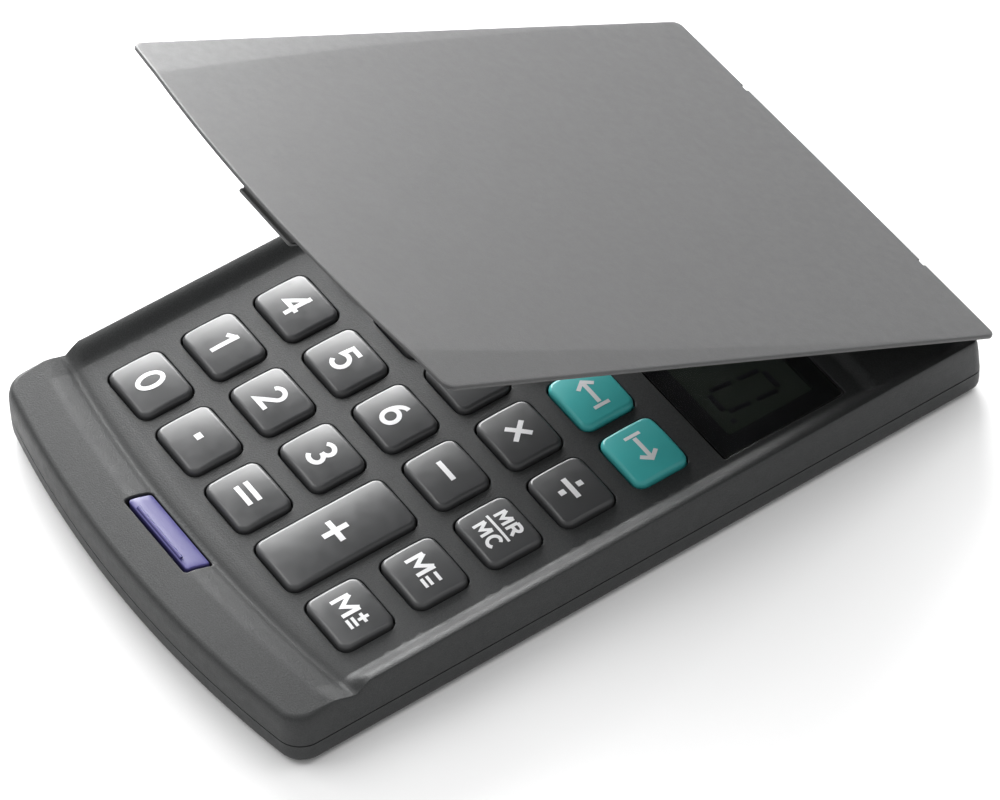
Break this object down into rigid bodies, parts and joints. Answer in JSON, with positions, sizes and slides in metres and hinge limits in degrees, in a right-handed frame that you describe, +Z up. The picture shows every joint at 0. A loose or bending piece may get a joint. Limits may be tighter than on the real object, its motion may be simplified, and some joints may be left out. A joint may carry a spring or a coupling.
{
  "type": "pocket calculator",
  "caption": "Slim pocket calculator with a hinged hard cover, a rocking cover release, rubber-domed keys, a display window and a solar cell.",
  "frame": {"origin": "on the table plane under the feet, at the middle of the overall width and length with the cover part open", "axes": "+X to the user's right, +Y away from the user towards the cover hinge, +Z up"},
  "size_m": [0.0664, 0.1046, 0.0539],
  "materials": {
    "case_shell": "satin, fine spark texture",
    "cover_shell": "satin, fine metallic sparkle",
    "key_grey": "semi-gloss",
    "key_teal": "semi-gloss",
    "release_violet": "semi-gloss",
    "clear_window": "polished",
    "lcd_glass": "satin",
    "solar_film": "polished",
    "board": "satin",
    "mat_rubber": "matt",
    "black_rubber": "matt",
    "black_plastic": "satin",
    "wire_red": "satin",
    "steel": "bright",
    "label_foil": "satin"
  },
  "bodies": {
    "case": {"upper_case": "case_shell", "lower_case": "case_shell", "display_window": "clear_window", "solar_window": "clear_window", "lcd_panel": "lcd_glass", "lcd_frame": "black_plastic", "lcd_connector": "black_rubber", "solar_cell": "solar_film", "circuit_board": "board", "chip_cap": "black_plastic", "capacitor": "black_plastic", "key_mat": "mat_rubber", "solar_wire_red": "wire_red", "solar_wire_black": "black_plastic", "battery_cell": "steel", "battery_contact_positive": "steel", "battery_contact_negative": "steel", "hinge_pin_left": "steel", "hinge_pin_right": "steel", "release_spring": "steel", "rating_plate": "label_foil", "foot_front_left": "black_rubber", "foot_front_right": "black_rubber", "foot_rear_left": "black_rubber", "foot_rear_right": "black_rubber", "case_screw_front_left": "steel", "case_screw_front_right": "steel", "case_screw_middle_left": "steel", "case_screw_middle_right": "steel", "case_screw_rear_left": "steel", "case_screw_rear_right": "steel"},
    "cover": {"flip_cover": "cover_shell"},
    "release_rocker": {"cover_release_button": "release_violet"},
    "key_0": {"key_0": "key_grey"},
    "key_point": {"key_point": "key_grey"},
    "key_equals": {"key_equals": "key_grey"},
    "key_memory_plus": {"key_memory_plus": "key_grey"},
    "key_1": {"key_1": "key_grey"},
    "key_2": {"key_2": "key_grey"},
    "key_3": {"key_3": "key_grey"},
    "key_memory_minus": {"key_memory_minus": "key_grey"},
    "key_4": {"key_4": "key_grey"},
    "key_5": {"key_5": "key_grey"},
    "key_6": {"key_6": "key_grey"},
    "key_minus": {"key_minus": "key_grey"},
    "key_memory_recall": {"key_memory_recall": "key_grey"},
    "key_7": {"key_7": "key_grey"},
    "key_8": {"key_8": "key_grey"},
    "key_9": {"key_9": "key_grey"},
    "key_multiply": {"key_multiply": "key_grey"},
    "key_divide": {"key_divide": "key_grey"},
    "key_clear": {"key_clear": "key_grey"},
    "key_root": {"key_root": "key_grey"},
    "key_percent": {"key_percent": "key_grey"},
    "key_convert_home": {"key_convert_home": "key_teal"},
    "key_convert_away": {"key_convert_away": "key_teal"},
    "key_plus": {"key_plus": "key_grey"}
  },
  "joints": [
    {"name": "cover_hinge", "type": "hinge", "parent": "case", "child": "cover", "pos_m": [0, 0.04934, 0.0049], "axis": [-1, 0, 0], "range_deg": [-29.3, 100.7]},
    {"name": "release_rock", "type": "hinge", "parent": "case", "child": "release_rocker", "pos_m": [0, -0.0448, 0.0062], "axis": [1, 0, 0], "range_deg": [0, 8], "stiffness_Nm_per_rad": 0.014, "deforming": ["release_spring"]},
    {"name": "key_0_press", "type": "slide", "parent": "case", "child": "key_0", "axis": [0, 0, -1], "range_m": [0, 0.0009], "stiffness_N_per_m": 600, "deforming": ["key_mat"]},
    {"name": "key_point_press", "type": "slide", "parent": "case", "child": "key_point", "axis": [0, 0, -1], "range_m": [0, 0.0009], "stiffness_N_per_m": 600, "deforming": ["key_mat"]},
    {"name": "key_equals_press", "type": "slide", "parent": "case", "child": "key_equals", "axis": [0, 0, -1], "range_m": [0, 0.0009], "stiffness_N_per_m": 600, "deforming": ["key_mat"]},
    {"name": "key_memory_plus_press", "type": "slide", "parent": "case", "child": "key_memory_plus", "axis": [0, 0, -1], "range_m": [0, 0.0009], "stiffness_N_per_m": 600, "deforming": ["key_mat"]},
    {"name": "key_1_press", "type": "slide", "parent": "case", "child": "key_1", "axis": [0, 0, -1], "range_m": [0, 0.0009], "stiffness_N_per_m": 600, "deforming": ["key_mat"]},
    {"name": "key_2_press", "type": "slide", "parent": "case", "child": "key_2", "axis": [0, 0, -1], "range_m": [0, 0.0009], "stiffness_N_per_m": 600, "deforming": ["key_mat"]},
    {"name": "key_3_press", "type": "slide", "parent": "case", "child": "key_3", "axis": [0, 0, -1], "range_m": [0, 0.0009], "stiffness_N_per_m": 600, "deforming": ["key_mat"]},
    {"name": "key_memory_minus_press", "type": "slide", "parent": "case", "child": "key_memory_minus", "axis": [0, 0, -1], "range_m": [0, 0.0009], "stiffness_N_per_m": 600, "deforming": ["key_mat"]},
    {"name": "key_4_press", "type": "slide", "parent": "case", "child": "key_4", "axis": [0, 0, -1], "range_m": [0, 0.0009], "stiffness_N_per_m": 600, "deforming": ["key_mat"]},
    {"name": "key_5_press", "type": "slide", "parent": "case", "child": "key_5", "axis": [0, 0, -1], "range_m": [0, 0.0009], "stiffness_N_per_m": 600, "deforming": ["key_mat"]},
    {"name": "key_6_press", "type": "slide", "parent": "case", "child": "key_6", "axis": [0, 0, -1], "range_m": [0, 0.0009], "stiffness_N_per_m": 600, "deforming": ["key_mat"]},
    {"name": "key_minus_press", "type": "slide", "parent": "case", "child": "key_minus", "axis": [0, 0, -1], "range_m": [0, 0.0009], "stiffness_N_per_m": 600, "deforming": ["key_mat"]},
    {"name": "key_memory_recall_press", "type": "slide", "parent": "case", "child": "key_memory_recall", "axis": [0, 0, -1], "range_m": [0, 0.0009], "stiffness_N_per_m": 600, "deforming": ["key_mat"]},
    {"name": "key_7_press", "type": "slide", "parent": "case", "child": "key_7", "axis": [0, 0, -1], "range_m": [0, 0.0009], "stiffness_N_per_m": 600, "deforming": ["key_mat"]},
    {"name": "key_8_press", "type": "slide", "parent": "case", "child": "key_8", "axis": [0, 0, -1], "range_m": [0, 0.0009], "stiffness_N_per_m": 600, "deforming": ["key_mat"]},
    {"name": "key_9_press", "type": "slide", "parent": "case", "child": "key_9", "axis": [0, 0, -1], "range_m": [0, 0.0009], "stiffness_N_per_m": 600, "deforming": ["key_mat"]},
    {"name": "key_multiply_press", "type": "slide", "parent": "case", "child": "key_multiply", "axis": [0, 0, -1], "range_m": [0, 0.0009], "stiffness_N_per_m": 600, "deforming": ["key_mat"]},
    {"name": "key_divide_press", "type": "slide", "parent": "case", "child": "key_divide", "axis": [0, 0, -1], "range_m": [0, 0.0009], "stiffness_N_per_m": 600, "deforming": ["key_mat"]},
    {"name": "key_clear_press", "type": "slide", "parent": "case", "child": "key_clear", "axis": [0, 0, -1], "range_m": [0, 0.0009], "stiffness_N_per_m": 600, "deforming": ["key_mat"]},
    {"name": "key_root_press", "type": "slide", "parent": "case", "child": "key_root", "axis": [0, 0, -1], "range_m": [0, 0.0009], "stiffness_N_per_m": 600, "deforming": ["key_mat"]},
    {"name": "key_percent_press", "type": "slide", "parent": "case", "child": "key_percent", "axis": [0, 0, -1], "range_m": [0, 0.0009], "stiffness_N_per_m": 600, "deforming": ["key_mat"]},
    {"name": "key_convert_home_press", "type": "slide", "parent": "case", "child": "key_convert_home", "axis": [0, 0, -1], "range_m": [0, 0.0009], "stiffness_N_per_m": 600, "deforming": ["key_mat"]},
    {"name": "key_convert_away_press", "type": "slide", "parent": "case", "child": "key_convert_away", "axis": [0, 0, -1], "range_m": [0, 0.0009], "stiffness_N_per_m": 600, "deforming": ["key_mat"]},
    {"name": "key_plus_press", "type": "slide", "parent": "case", "child": "key_plus", "axis": [0, 0, -1], "range_m": [0, 0.0009], "stiffness_N_per_m": 600, "deforming": ["key_mat"]}
  ]
}
